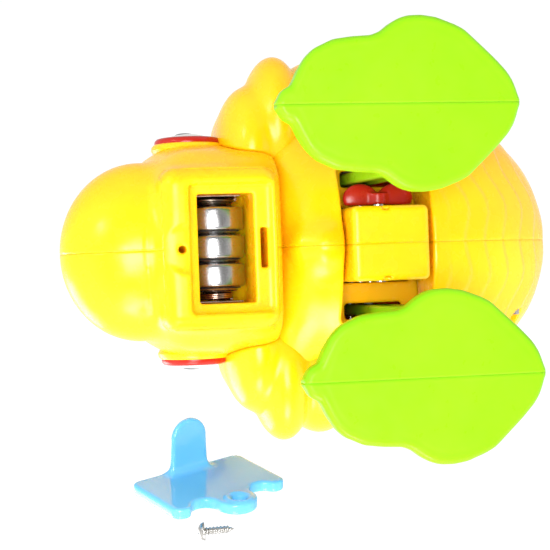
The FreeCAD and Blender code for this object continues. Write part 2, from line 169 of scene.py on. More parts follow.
# ---------------------------------------------------------------- from field to mesh
EDGES = [(axis, b, c) for axis in range(3) for b in (0, 1) for c in (0, 1)]     # a cell's 12 edges
CORNERS = [(i, j, k) for i in (0, 1) for j in (0, 1) for k in (0, 1)]
MARGIN = 1.5                      # grid beyond the given box, in steps
PASSES = 4                        # Newton passes that move vertices onto the surface
SAMPLE = 0.2                      # offset for a gradient, in steps
LEAST_SLOPE = 0.2                 # keeps a pass small where the field is flat
LONGEST_MOVE, LONGEST_SLIDE = 0.35, 0.5     # most that a pass moves a vertex, in steps


def gradient(field, p, e):
    """Slope of the field at each point, by differences over e to each side."""
    return np.stack([(field(*(p + e * np.eye(3)[i]).T) - field(*(p - e * np.eye(3)[i]).T)) / (2 * e)
                     for i in range(3)], axis=1)


def surface(whole, lo, hi, step, plane=None):
    """Vertices and quads of whole = 0, by surface nets, with each vertex moved onto the surface.

    plane is (place, side): only what lies on that side of x = place is kept, with a sharp edge
    round the cut."""
    def field(x, y, z):
        d = whole(x, y, z)
        return d if plane is None else np.maximum(d, plane[1] * (plane[0] - x))

    lo, hi = np.array(lo, float) - MARGIN * step, np.array(hi, float) + MARGIN * step
    n = np.ceil((hi - lo) / step).astype(int) + 1
    grid = [lo[i] + step * np.arange(n[i]) for i in range(3)]
    uncut = whole(grid[0][:, None, None], grid[1][None, :, None], grid[2][None, None, :])
    uncut = np.broadcast_to(uncut, tuple(n)).astype(np.float32)
    v = uncut if plane is None else np.maximum(uncut, (plane[1] * (plane[0] - grid[0]))[:, None, None])
    inside = v < 0
    m = n - 1

    def corner(arr, o):
        return arr[o[0]:o[0] + m[0], o[1]:o[1] + m[1], o[2]:o[2] + m[2]]

    def crossed(inner):
        count = sum(corner(inner, o).astype(np.int8) for o in CORNERS)
        return (count > 0) & (count < len(CORNERS))

    active = crossed(inside)
    cells = np.argwhere(active)
    index = np.full(tuple(m), -1, np.int64)
    index[active] = np.arange(len(cells))
    total, hits = np.zeros((len(cells), 3)), np.zeros(len(cells))
    for axis, b, c in EDGES:
        start = np.zeros(3, int)
        start[(axis + 1) % 3], start[(axis + 2) % 3] = b, c
        end = start.copy()
        end[axis] = 1
        v0, v1 = corner(v, start)[active], corner(v, end)[active]
        cross = (v0 < 0) != (v1 < 0)
        t = np.where(cross, v0 / np.where(cross, v0 - v1, 1), 0)
        point = start + np.eye(3)[axis] * t[:, None]
        total += point * cross[:, None]
        hits += cross
    p = lo + step * (cells + total / hits[:, None])
    e = SAMPLE * step
    for _ in range(PASSES):
        d = field(p[:, 0], p[:, 1], p[:, 2])
        g = gradient(field, p, e)
        move = -(d / np.maximum((g * g).sum(1), LEAST_SLOPE))[:, None] * g
        size = np.linalg.norm(move, axis=1, keepdims=True)
        p += move * np.minimum(1, LONGEST_MOVE * step / np.maximum(size, 1e-9))
    if plane is not None:
        on_edge = crossed(uncut < 0)[active]
        on_edge &= np.abs(grid[0][cells[:, 0]] + step / 2 - plane[0]) <= step / 2
        edge = p[on_edge]
        edge[:, 0] = plane[0]
        for _ in range(PASSES):
            d = whole(edge[:, 0], edge[:, 1], edge[:, 2])
            g = gradient(whole, edge, e)[:, 1:]
            slide = -d / np.maximum((g * g).sum(1), LEAST_SLOPE)
            slide = np.clip(slide, -LONGEST_SLIDE * step, LONGEST_SLIDE * step)
            edge[:, 1:] += slide[:, None] * g
        p[on_edge] = edge
    quads = []
    for axis in range(3):
        u, w = (axis + 1) % 3, (axis + 2) % 3
        first = [slice(1, m[i]) for i in range(3)]
        second = list(first)
        first[axis], second[axis] = slice(0, m[axis]), slice(1, m[axis] + 1)
        a, b = inside[tuple(first)], inside[tuple(second)]
        where = np.argwhere(a != b)
        flip = a[a != b]
        base = where.copy()
        base[:, u] += 1
        base[:, w] += 1
        ring = []
        for du, dw in ((-1, -1), (0, -1), (0, 0), (-1, 0)):
            at = base.copy()
            at[:, u] += du
            at[:, w] += dw
            ring.append(index[at[:, 0], at[:, 1], at[:, 2]])
        ring = np.stack(ring, 1)
        ring[~flip] = ring[~flip][:, ::-1]
        quads.append(ring)
    return p, np.concatenate(quads)


def mesh_object(name, points, faces, material):
    """A new smooth-shaded object from points in millimetres and a list of faces."""
    mesh = bpy.data.meshes.new(name)
    mesh.from_pydata((np.asarray(points) * MM).tolist(), [], faces)
    mesh.validate()
    mesh.polygons.foreach_set("use_smooth", [True] * len(mesh.polygons))
    mesh.materials.append(material)
    mesh.update()
    obj = bpy.data.objects.new(name, mesh)
    COLLECTION.objects.link(obj)
    return obj


def sculpt(name, field, lo, hi, step, material, plane=None):
    """An object of the surface field = 0 within a box."""
    points, quads = surface(field, lo, hi, step, plane)
    return mesh_object(name, points, quads.tolist(), material)


def mirror(obj, name):
    """A copy of obj on the other side of the plane X = 0."""
    mesh = obj.data.copy()
    mesh.transform(Matrix.Scale(-1, 4, (1, 0, 0)))
    mesh.flip_normals()
    copy = bpy.data.objects.new(name, mesh)
    COLLECTION.objects.link(copy)
    return copy


LATHE_SIDES = 64
CRISP_DEGREES = 38


def lathe(name, profile, centre, axis, material):
    """Profile is (radius, height along axis) in millimetres, closed at both ends on the axis."""
    axis = np.array(axis, float)
    side = np.array([0, 1, 0]) if abs(axis[0]) > 0.5 else np.array([1, 0, 0])
    u = np.cross(axis, side)
    u = u / np.linalg.norm(u)
    w = np.cross(axis, u)
    points, faces = [], []
    for r, h in profile:
        for i in range(LATHE_SIDES):
            a = 2 * math.pi * i / LATHE_SIDES
            points.append(np.array(centre) + axis * h + r * (math.cos(a) * u + math.sin(a) * w))
    for k in range(0, (len(profile) - 1) * LATHE_SIDES, LATHE_SIDES):
        for i in range(LATHE_SIDES):
            j = (i + 1) % LATHE_SIDES
            faces.append([k + i, k + j, k + LATHE_SIDES + j, k + LATHE_SIDES + i])
    last = (len(profile) - 1) * LATHE_SIDES
    faces.append(list(range(LATHE_SIDES))[::-1])
    faces.append([last + i for i in range(LATHE_SIDES)])
    obj = mesh_object(name, points, faces, material)
    crisp(obj)
    return obj


def crisp(obj):
    """Smooth shading, with the sharper edges kept crisp."""
    limit = math.radians(CRISP_DEGREES)
    mesh = obj.data
    mesh.update()
    count = {}
    for poly in mesh.polygons:
        for key in poly.edge_keys:
            count.setdefault(key, []).append(poly.normal.copy())
    for edge in mesh.edges:
        n = count.get(edge.key, [])
        edge.use_edge_sharp = len(n) == 2 and n[0].angle(n[1], 0.0) > limit


def wire(name, points, radius, material):
    """A round wire through points in millimetres, made into a mesh."""
    curve = bpy.data.curves.new(name, "CURVE")
    curve.dimensions = "3D"
    curve.bevel_depth = radius * MM
    curve.bevel_resolution = 2
    curve.use_fill_caps = True
    spline = curve.splines.new("POLY")
    spline.points.add(len(points) - 1)
    for p, q in zip(spline.points, points):
        p.co = (q[0] * MM, q[1] * MM, q[2] * MM, 1)
    holder = bpy.data.objects.new(name + "_curve", curve)
    COLLECTION.objects.link(holder)
    bpy.context.view_layer.update()
    mesh = bpy.data.meshes.new_from_object(holder.evaluated_get(bpy.context.evaluated_depsgraph_get()))
    bpy.data.objects.remove(holder)
    mesh.name = name
    mesh.materials.clear()
    mesh.materials.append(material)
    mesh.polygons.foreach_set("use_smooth", [True] * len(mesh.polygons))
    obj = bpy.data.objects.new(name, mesh)
    COLLECTION.objects.link(obj)
    return obj


def place(obj, body, slot, *nodes):
    """The piece rides on a body and stands for CAD nodes, which are hidden; slot is not used."""
    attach(obj, body)
    if nodes:
        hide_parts(*nodes)
    return obj


# ---------------------------------------------------------------- materials
def new_material(name):
    material = bpy.data.materials.new(name)
    material.use_nodes = True
    tree = material.node_tree
    return material, tree, tree.nodes["Principled BSDF"]


def noise(tree, scale, detail, coords=None):
    """A noise texture's value, in object coordinates unless told otherwise."""
    node = tree.nodes.new("ShaderNodeTexNoise")
    node.inputs["Scale"].default_value = scale
    node.inputs["Detail"].default_value = detail
    if coords is None:
        coords = tree.nodes.new("ShaderNodeTexCoord").outputs["Object"]
    tree.links.new(coords, node.inputs["Vector"])
    return node.outputs["Fac"]


def mapped(tree, value, lo, hi, from_lo=0.3, from_hi=0.7):
    """The value's range from_lo to from_hi carried over to lo to hi."""
    node = tree.nodes.new("ShaderNodeMapRange")
    node.inputs["From Min"].default_value = from_lo
    node.inputs["From Max"].default_value = from_hi
    node.inputs["To Min"].default_value = lo
    node.inputs["To Max"].default_value = hi
    tree.links.new(value, node.inputs["Value"])
    return node.outputs["Result"]


def two_tone(tree, value, dark, light):
    """A colour that goes from dark to light with the value."""
    node = tree.nodes.new("ShaderNodeValToRGB")
    for stop, position, colour in zip(node.color_ramp.elements, (0.3, 0.7), (dark, light)):
        stop.position = position
        stop.color = (*colour, 1)
    tree.links.new(value, node.inputs["Fac"])
    return node.outputs["Color"]


def bump(tree, bsdf, value, strength, distance):
    node = tree.nodes.new("ShaderNodeBump")
    node.inputs["Strength"].default_value = strength
    node.inputs["Distance"].default_value = distance
    tree.links.new(value, node.inputs["Height"])
    tree.links.new(node.outputs["Normal"], bsdf.inputs["Normal"])


def moulded(name, dark, light, rough=(0.2, 0.32), shine=0.2, glow=0.0, glow_radius=(1, 0.4, 0.1),
             glow_depth=0.0025):
    """Injection-moulded plastic: slow colour drift, handling haze, a faint orange-peel skin."""
    material, tree, bsdf = new_material(name)
    drift, haze, grain = noise(tree, 60, 2), noise(tree, 340, 5), noise(tree, 1500, 3)
    tree.links.new(two_tone(tree, drift, dark, light), bsdf.inputs["Base Color"])
    tree.links.new(mapped(tree, haze, *rough), bsdf.inputs["Roughness"])
    bump(tree, bsdf, grain, 0.10, 0.00004)
    bsdf.inputs["Specular IOR Level"].default_value = shine
    if glow:
        bsdf.inputs["Subsurface Weight"].default_value = glow
        bsdf.inputs["Subsurface Radius"].default_value = glow_radius
        bsdf.inputs["Subsurface Scale"].default_value = glow_depth
    return material


def metal(name, dark, light, rough, scratch_along=(1, 1, 1), bump_strength=0.1):
    """Metal with fine drawn scratches along one direction and small tarnish clouds."""
    material, tree, bsdf = new_material(name)
    coords = tree.nodes.new("ShaderNodeTexCoord")
    stretch = tree.nodes.new("ShaderNodeMapping")
    stretch.inputs["Scale"].default_value = scratch_along
    tree.links.new(coords.outputs["Object"], stretch.inputs["Vector"])
    lines = noise(tree, 2600, 2, stretch.outputs["Vector"])
    clouds = noise(tree, 420, 4)
    tree.links.new(two_tone(tree, clouds, dark, light), bsdf.inputs["Base Color"])
    tree.links.new(mapped(tree, lines, *rough), bsdf.inputs["Roughness"])
    bump(tree, bsdf, lines, bump_strength, 0.00002)
    bsdf.inputs["Metallic"].default_value = 1.0
    return material


YELLOW = moulded("yellow_moulding", (0.92, 0.47, 0.002), (0.96, 0.51, 0.003), shine=0.3, glow=0.2)
YELLOW_INNER = moulded("yellow_inner_moulding", (0.94, 0.46, 0.002), (0.98, 0.50, 0.003),
                       rough=(0.24, 0.36), shine=0.25, glow=0.6, glow_radius=(1, 0.4, 0.03), glow_depth=0.004)
LIME = moulded("lime_moulding", (0.205, 0.50, 0.004), (0.225, 0.54, 0.006), rough=(0.26, 0.4), shine=0.15,
               glow=0.1, glow_radius=(0.4, 1, 0.1))
RED = moulded("red_moulding", (0.34, 0.010, 0.004), (0.42, 0.014, 0.006), shine=0.3)
BLUE = moulded("blue_moulding", (0.10, 0.37, 0.66), (0.12, 0.41, 0.70), rough=(0.08, 0.16), shine=0.4,
               glow=0.3, glow_radius=(0.3, 0.8, 1))
WHITE = moulded("white_gloss", (0.60, 0.60, 0.59), (0.66, 0.66, 0.65), rough=(0.06, 0.12), shine=0.6)
BLACK = moulded("black_gloss", (0.004, 0.004, 0.005), (0.010, 0.010, 0.011), rough=(0.06, 0.14), shine=0.5)
NYLON = moulded("natural_nylon", (0.34, 0.32, 0.27), (0.40, 0.38, 0.33), rough=(0.35, 0.5), glow=0.2)
CELL_STEEL = metal("cell_nickel", (0.33, 0.32, 0.32), (0.42, 0.42, 0.42), (0.2, 0.3), (14, 1, 1))
DARK_WIRE = metal("dark_wire", (0.10, 0.085, 0.07), (0.20, 0.17, 0.14), (0.25, 0.4))
COPPER_WIRE = metal("copper_wire", (0.34, 0.20, 0.14), (0.46, 0.34, 0.28), (0.16, 0.28))
SCREW_STEEL = metal("zinc_screw", (0.30, 0.29, 0.27), (0.42, 0.41, 0.39), (0.18, 0.34))
SPRING_STEEL = metal("blued_spring", (0.16, 0.18, 0.24), (0.28, 0.30, 0.36), (0.2, 0.32), (1, 20, 20))
AXLE_STEEL = metal("ground_axle", (0.32, 0.32, 0.33), (0.42, 0.42, 0.43), (0.12, 0.24), (20, 1, 1))
BOARD = moulded("green_board", (0.015, 0.13, 0.05), (0.03, 0.20, 0.08), rough=(0.25, 0.4))
LAMP = moulded("clear_lamp", (0.50, 0.48, 0.47), (0.56, 0.55, 0.54), rough=(0.03, 0.08), shine=0.8, glow=0.4)
GASKET = moulded("cell_gasket", (0.012, 0.010, 0.009), (0.03, 0.026, 0.024), rough=(0.4, 0.6))


# ---------------------------------------------------------------- head
JAW_X, JAW_TOP, JAW_ROUND = 18.6, 44, 7.5       # the cheeks' block behind the panel
NECK_SINK, MOUTH_RISE, NOSTRIL_R = 0.3, 3.2, 0.8
NOSTRIL_ENDS = ((4.2, -13, 9.6), (5.4, -10.4, 10.8))       # from the bill's centre


def skull_form(x, y, z):
    """The head's outside without its panel: skull, cheeks, bill with its mouth line and nostrils."""
    skull = ellipsoid(x, y, z, HEAD_C, HEAD_R)
    jaw = rounded_box(x, y, z, (-JAW_X, PANEL_LO[1] - 0.2, PANEL_LO[2] + 3.4), (JAW_X, NECK_Y + 4, JAW_TOP),
                      JAW_ROUND)
    d = blend_min(skull, jaw, 6.0)
    bill = ellipsoid(x, y, z, BILL_C, BILL_R)
    mouth_z = BILL_C[2] + MOUTH_RISE - 0.05 * np.abs(x)
    bill = bill + 0.7 * line_bump(z - mouth_z, 0.7) * ramp(-y, -BILL_C[1] + 1.0, -BILL_C[1] + 5)
    d = blend_min(d, bill, 1.6)
    d = blend_min(d, ellipsoid(x, y, z, BODY_C, BODY_R - NECK_SINK), 2.0)
    for side in (-1, 1):
        low, high = ((side * at[0], BILL_C[1] + at[1], BILL_C[2] + at[2]) for at in NOSTRIL_ENDS)
        d = cut(d, capsule(x, y, z, low, high, NOSTRIL_R), 0.8)
    return d


def head_form(x, y, z):
    """The skull with the raised battery panel and the fine curved line in front of it."""
    raised = rounded_box(x, y, z, PANEL_LO, (PANEL_HI[0], PANEL_HI[1], JAW_TOP), 3.2)
    d = blend_min(skull_form(x, y, z), raised, 3.4)
    bow = 2.2 * (1 - (x / 16) ** 2)
    line = np.sqrt((y - PANEL_LO[1] + 0.5 + bow) ** 2 + d ** 2)
    return d + 0.16 * line_bump(line, 0.22) * ramp(12.5 - np.abs(x), 0, 2) * ramp(-z, -30, -26)


def head_field(x, y, z):
    outside = head_form(x, y, z)
    d = np.maximum(outside, -(outside + SHELL))
    d = blend_max(d, y - NECK_Y + NECK_GAP, 0.3)
    d = d + GROOVE_DEEP * line_bump(x, GROOVE_WIDE)
    return np.maximum(d, -housing_region(x, y, z, -0.35))


def housing_region(x, y, z, grow):
    """The block of the face that the battery housing fills."""
    return rounded_box(x, y, z, PANEL_LO - (grow, grow, 9), PANEL_HI + (grow, grow, grow), 2.0)


def make_head():
    left = sculpt("head_left", head_field, (0, HEAD_LO[1] - 1, HEAD_LO[2] - 2), HEAD_HI + 1, FINE, YELLOW,
                  (SEAM, 1))
    right = mirror(left, "head_right")
    place(left, "chicken", "yellow_shell", "head_shell_left")
    place(right, "chicken", "yellow_shell", "head_shell_right")


# ---------------------------------------------------------------- battery bay
CELL_NODES = ["battery_cell_1", "battery_cell_2", "battery_cell_3"]
CELL_T, CELL_D = (corners(CELL_NODES[0])[1] - corners(CELL_NODES[0])[0])[:2]
CELL_R = CELL_D / 2
CELL_AT = middle(CELL_NODES[0])
CELL_ROOM = 0.35                  # between a cell and its cradle
BAY_X = corners("contact_spring_left")[1][0] + 0.05
BAY_LO = np.array([-BAY_X, PANEL_LO[1] + 6.9, PANEL_LO[2]])
BAY_HI = np.array([BAY_X, PANEL_HI[1] - 4.4, CELL_AT[2] + 1.5])
RECESS_LO = np.array([-12.1, PANEL_LO[1] + 5.3, PANEL_LO[2] - 5])
RECESS_HI = np.array([12.1, PANEL_HI[1] - 1.1, PANEL_LO[2] + 1.7])
SEAT_R, SEAT_DEEP = 4.3, 0.35                   # the cover tab's seat
SCREW_Y, SCREW_HOLE_R, SCREW_DEEP = RECESS_LO[1] - 1.6, 0.75, 8
SLOT_X, SLOT_Y, SLOT_TOP = 3.8, 0.65, 33        # half sizes and top of the tongue's slot


def battery_box_field(x, y, z):
    """The face block: the cover's recess, the cells' cradle and its sloping wall, a slot, a screw hole."""
    d = np.maximum(housing_region(x, y, z, 0.0), head_form(x, y, z) + 0.02)
    recess = rounded_box(x, y, z, RECESS_LO, RECESS_HI, 0.9)
    seat = blend_max(tube_z(x, y, z, 0, RECESS_LO[1] - 0.4, SEAT_R), z - PANEL_LO[2] - SEAT_DEEP, 0.5)
    d = cut(cut(d, recess, 1.0), seat, 0.9)
    mouth = rounded_box(x, y, z, BAY_LO, BAY_HI, 0.5)
    top_z, low_z = RECESS_HI[2] + 0.8, CELL_AT[2] + 1.0
    lean = (CELL_AT[1] + CELL_R + CELL_ROOM - BAY_HI[1]) / (low_z - top_z)
    slope = (y - BAY_HI[1] - lean * (z - top_z)) / math.hypot(1, lean)
    cradle = blend_max(tube_x(x, y, z, CELL_AT[1], CELL_AT[2], CELL_R + CELL_ROOM), np.abs(x) - BAY_X, 0.4)
    d = cut(d, np.minimum(blend_max(mouth, slope, 0.8), cradle), 0.35)
    d = cut(d, np.maximum(tube_z(x, y, z, 0, SCREW_Y, SCREW_HOLE_R), z - PANEL_LO[2] - SCREW_DEEP), 0.4)
    slot_at = (RECESS_HI[1] + BAY_HI[1]) / 2
    slot_lo, slot_hi = (-SLOT_X, slot_at - SLOT_Y, PANEL_LO[2]), (SLOT_X, slot_at + SLOT_Y, SLOT_TOP)
    return cut(d, rounded_box(x, y, z, slot_lo, slot_hi, 0.3), 0.25)


def cell_profile():
    """A button cell: a can with a rolled rim, a dark gasket ring and a smaller cap, along its axis."""
    r, top = CELL_R, CELL_T / 2
    can = [(0, -top), (r - 0.9, -top), (r - 0.35, -top + 0.12), (r - 0.08, -top + 0.4), (r, -top + 0.8),
           (r, top - 1.5), (r - 0.1, top - 1.15), (r - 0.45, top - 0.85), (r - 0.85, top - 0.8)]
    gasket = [(0, top - 1.0), (r - 0.85, top - 0.8), (r - 1.0, top - 0.62), (r - 1.3, top - 0.6),
              (0, top - 0.6)]
    cap = [(0, top - 0.9), (r - 1.3, top - 0.75), (r - 1.45, top - 0.3), (r - 1.75, top - 0.05),
           (r - 2.3, top), (0, top)]
    return can, gasket, cap


COIL_POINTS = 150
PLATE_Y, PLATE_Z, PLATE_T = 4.6, 5.0, 0.4       # half sizes and thickness of a contact plate
# Turns, radius at the plate and at the cell, wire radius, material, slot
CONE = (3.6, 4.4, 2.2, 0.34, DARK_WIRE, "dark_spring")
COIL = (3.4, 3.1, 3.0, 0.3, COPPER_WIRE, "copper_spring")


def make_contact(name, side):
    """A wound contact spring on its plate: a dark cone on the left, a copper coil on the right."""
    node = "contact_spring_" + name
    lo, hi = corners(node)
    inner, outer = (lo[0], hi[0]) if side > 0 else (hi[0], lo[0])
    turns, plate_r, cell_r, gauge, material, slot = CONE if side > 0 else COIL
    start, end = outer - side * (0.45 + gauge), inner + side * gauge
    spine = []
    for i in range(COIL_POINTS + 1):
        t = i / COIL_POINTS
        a = 2 * math.pi * turns * t
        r = plate_r + (cell_r - plate_r) * t
        spine.append((start + (end - start) * t, CELL_AT[1] + r * math.cos(a), CELL_AT[2] + r * math.sin(a)))
    place(wire(node + "_coil", spine, gauge, material), "chicken", slot, node)
    back, front = sorted((outer, outer - side * PLATE_T))
    lo = (back, CELL_AT[1] - PLATE_Y, CELL_AT[2] - PLATE_Z)
    hi = (front, CELL_AT[1] + PLATE_Y, CELL_AT[2] + PLATE_Z)
    plate = sculpt(node + "_plate", lambda x, y, z: rounded_box(x, y, z, lo, hi, 0.15), lo, hi, PLATE_STEP,
                   COPPER_WIRE)
    place(plate, "chicken", "copper_spring")


def make_battery_bay():
    box = sculpt("battery_housing", battery_box_field, PANEL_LO - 0.5, PANEL_HI + 0.5, FINE, YELLOW_INNER)
    place(box, "chicken", "yellow_case", "battery_box")
    for node in CELL_NODES:
        can, gasket, cap = cell_profile()
        at, along = middle(node), (-1, 0, 0)
        place(lathe(node + "_can", can, at, along, CELL_STEEL), "chicken", "cell_steel", node)
        place(lathe(node + "_gasket", gasket, at, along, GASKET), "chicken", "black_plastic")
        place(lathe(node + "_cap", cap, at, along, CELL_STEEL), "chicken", "cell_steel")
    for name, side in SIDES:
        make_contact(name, side)


# ---------------------------------------------------------------- eyes and comb
PUPIL_R = 2.1


def dome(radius, base, rise, rim, steps):
    """Profile of a low dome on a disc: the disc's height is base, the dome rises from rim."""
    arc = [(radius * math.cos(a), rim + rise * math.sin(a)) for a in np.linspace(0, 1.5, steps)]
    return [(0, base)] + arc


def make_eyes():
    """Each eye is a dished socket, a rounded red ring, a white dome and a black pupil."""
    for name, side in SIDES:
        axis = (side, 0, 0)
        lo, hi = corners("eye_socket_" + name)
        face = hi[0] if side > 0 else -lo[0]
        at = (0, (lo[1] + hi[1]) / 2, (lo[2] + hi[2]) / 2)
        r = (hi[1] - lo[1]) / 2
        dish = [(0, face - 5), (r - 1.6, face - 5), (r - 0.5, face - 2.2), (r, face - 1.2),
                (r - 0.15, face - 0.5), (r - 0.6, face - 0.1), (0, face)]
        socket = lathe("eye_socket_" + name + "_dish", dish, at, axis, YELLOW)
        place(socket, "chicken", "yellow_shell", "eye_socket_" + name)
        r = r - 0.7
        rim = [(0, face - 0.4), (r - 0.15, face - 0.4), (r, face + 0.1), (r - 0.1, face + 0.6),
               (r - 0.5, face + 1.0), (r - 1.1, face + 1.15), (r - 1.7, face + 0.95), (r - 2.0, face + 0.5),
               (0, face + 0.45)]
        ring = lathe("eye_ring_" + name + "_rim", rim, at, axis, RED)
        place(ring, "chicken", "red_plastic", "eye_ring_" + name)
        white = dome(r - 2.1, face + 0.3, 1.5, face + 0.5, 12) + [(0, face + 2.0)]
        ball = lathe("eyeball_" + name + "_dome", white, at, axis, WHITE)
        place(ball, "chicken", "white_plastic", "eyeball_" + name)
        black = dome(PUPIL_R, face + 1.5, 0.6, face + 1.6, 8) + [(0, face + 2.2)]
        pupil = lathe("pupil_" + name + "_dome", black, (0, at[1] - 0.5, at[2] + 0.2), axis, BLACK)
        place(pupil, "chicken", "black_plastic", "pupil_" + name)


COMB_LOBES = ((4.6, -37.4, 64.6), (5.8, -30.0, 68.6), (4.6, -22.6, 65.4))     # radius, Y, Z


def comb_field(x, y, z):
    """Three lobes in a row, set on the head."""
    lobes = None
    for r, along, up in COMB_LOBES:
        lobe = ellipsoid(x, y, z, (0, along, up), (2.6, r, r + 0.8))
        lobes = lobe if lobes is None else blend_min(lobes, lobe, 1.2)
    return cut(lobes, skull_form(x, y, z) - 0.05, 0.4)


# ---------------------------------------------------------------- body
WELL_X, WELL_TOP, WELL_WALL, WELL_ROUND = 15.6, 32.0, 1.3, 1.8      # the belly well round legs and case
WELL_LO = np.array([-WELL_X, CASE_LO[1] - 0.6, 0])
WELL_HI = np.array([WELL_X, CASE_HI[1] + 1.4, WELL_TOP])
DECK_T, DECK_PAST = 1.2, 0.5                    # the well's ceiling, and how far it runs into the walls
# Openings in the deck: X range and Y range, for the case and for the left leg
DECK_HOLES = ((-7.4, 7.4, CASE_LO[1] - 0.3, CASE_HI[1] + 0.3),
              (11.4, 14.6, corners("leg_left")[0][1] - 0.7, corners("leg_right")[1][1] + 0.7))
ROW_STEP, ROW_DEEP, ROW_START = 4.4, 0.42, 15.6             # belly feather rows along Y
BACK_FEATHER, BACK_DEEP = 9.0, 0.4
BOSS = ((0, -10.5, 25.4), (0, -8.0, 23.8), 3.9)             # the chest boss: two ends and radius


def body_form(x, y, z):
    """The body's outside: an egg with stepped feather rows behind, feathers on its back, and a boss."""
    d = ellipsoid(x, y, z, BODY_C, BODY_R)
    row = (y - ROW_START + 0.9 * np.cos(2 * math.pi * x / 14.0) + 0.012 * x * x) / ROW_STEP
    step = row - np.floor(row)
    fall = ramp(-step, -1.0, -0.80)
    d = d - ROW_DEEP * ramp(-z, -46, -34) * ramp(y, 13, 17) * step * fall
    d = d - BACK_DEEP * ramp(z, 40, 50) * ramp(y, -8, 2) * scallops(x, -y, BACK_FEATHER)
    return blend_min(d, capsule(x, y, z, *BOSS), 3.4)


def chest_band(x, y, z):
    """A raised band that rises from the boss outward under the wings, the same on both sides."""
    px, py, pz = turned(np.abs(x), y, z, (15, -10.6, 34.5), (0, -32, -8))
    return ellipsoid(px, py, pz, (0, 0, 0), (17, 5.8, 5.4))


def body_field(x, y, z):
    """A hollow shell with the well, its deck and its walls; the two halves meet at X = 0."""
    outside = blend_min(body_form(x, y, z), chest_band(x, y, z), 4.0)
    inner = ellipsoid(x, y, z, BODY_C, BODY_R - SHELL)
    d = np.maximum(outside, -inner)
    d = blend_max(d, NECK_Y + NECK_GAP - y, 0.3)
    wall = rounded_box(x, y, z, WELL_LO - WELL_WALL, WELL_HI + (WELL_WALL, WELL_WALL, 0), 3.0)
    d = np.minimum(d, np.maximum(wall, outside))
    d = cut(d, rounded_box(x, y, z, WELL_LO, WELL_HI + (0, 0, 5), WELL_ROUND), 0.6)
    deck = rounded_box(x, y, z, (WELL_LO[0] - DECK_PAST, WELL_LO[1] - DECK_PAST, WELL_TOP),
                       WELL_HI + (DECK_PAST, DECK_PAST, DECK_T), 0.3)
    for x0, x1, y0, y1 in DECK_HOLES:
        deck = cut(deck, rounded_box(x, y, z, (x0, y0, WELL_TOP - 2), (x1, y1, WELL_TOP + 4), 0.6), 0.3)
    return np.minimum(d, deck) + GROOVE_DEEP * line_bump(x, GROOVE_WIDE)


SCREW_PLACES = ((-11.0, 57.0), (30.0, 62.0), (32.0, 33.0))   # Y and Z, as in the CAD's pillars
SCREW_SUNK, SCREW_WELL_R, PILLAR_R = 3.4, 2.1, 2.9


def screwed_body_field(x, y, z):
    """The right half: screws sit in round wells, each in a pillar."""
    d = body_field(-x, y, z)
    egg = ellipsoid(x, y, z, BODY_C, BODY_R)
    for py, pz in SCREW_PLACES:
        dy, dz = (py - BODY_C[1]) / BODY_R[1], (pz - BODY_C[2]) / BODY_R[2]
        seat = -BODY_R[0] * math.sqrt(1 - dy * dy - dz * dz) + SCREW_SUNK
        d = np.minimum(d, np.maximum(tube_x(x, y, z, py, pz, PILLAR_R), egg + 0.4))
        d = cut(d, np.maximum(tube_x(x, y, z, py, pz, SCREW_WELL_R), x - seat), 0.5)
    return d


def make_body():
    low = (0, NECK_Y, BODY_LO[2] - 3)
    left = sculpt("body_left", body_field, low, BODY_HI + (6, 1, 1), FINE, YELLOW, (SEAM, 1))
    low = (-BODY_HI[0] - 6, NECK_Y, BODY_LO[2] - 3)
    right = sculpt("body_right", screwed_body_field, low, BODY_HI * (0, 1, 1) + 1, FINE, YELLOW, (-SEAM, -1))
    place(left, "chicken", "yellow_shell", "body_shell_left")
    place(right, "chicken", "yellow_shell", "body_shell_right")


# Feather lobes of the left wing, front to back: centre, half axes, turn in degrees about X, Y and Z
WING_LOBES = (((20.0, -19.4, 41.5), (12.4, 6.3, 11.0), (0, 6, 2)),
              ((24.8, -14.0, 42.0), (13.6, 6.3, 11.5), (0, 8, 2)),
              ((25.6, -6.0, 43.5), (11.8, 7.8, 12.0), (0, 6, 2)),
              ((26.4, 4.5, 46.0), (10.2, 9.5, 12.0), (0, 0, 0)),
              ((23.5, 14.5, 48.5), (8.8, 9.6, 10.5), (0, 0, -16)))
SHOULDER = ((22.5, -4.5, 50.5), (10.0, 19.5, 9.0))
TAIL_PLUMES = ((-1, 15.0), (1, 15.0), (0, 19.0))            # side and half height


def wing_field(x, y, z):
    """Overlapping feather lobes under a smooth shoulder, set on body and head."""
    d = None
    for at, semi, angles in WING_LOBES:
        px, py, pz = turned(x, y, z, at, angles)
        lobe = ellipsoid(px, py, pz, (0, 0, 0), semi)
        d = lobe if d is None else blend_min(d, lobe, 1.6)
    d = blend_min(d, ellipsoid(x, y, z, *SHOULDER), 5.0)
    inside = np.minimum(ellipsoid(x, y, z, BODY_C, BODY_R), skull_form(x, y, z))
    return cut(d, inside - TOUCH, 0.4)


def tail_field(x, y, z):
    """Three upright tail feathers in a fan."""
    d = None
    for k, tall in TAIL_PLUMES:
        px, py, pz = turned(x, y, z, (2.4 * k, 34.5, 63 + (tall - 15) / 2), (-24, 10 * k, 0))
        plume = ellipsoid(px, py, pz, (0, 0, 0), (3.6, 7.6, tall))
        d = plume if d is None else blend_min(d, plume, 0.9)
    return cut(d, ellipsoid(x, y, z, BODY_C, BODY_R) - TOUCH, 0.4)


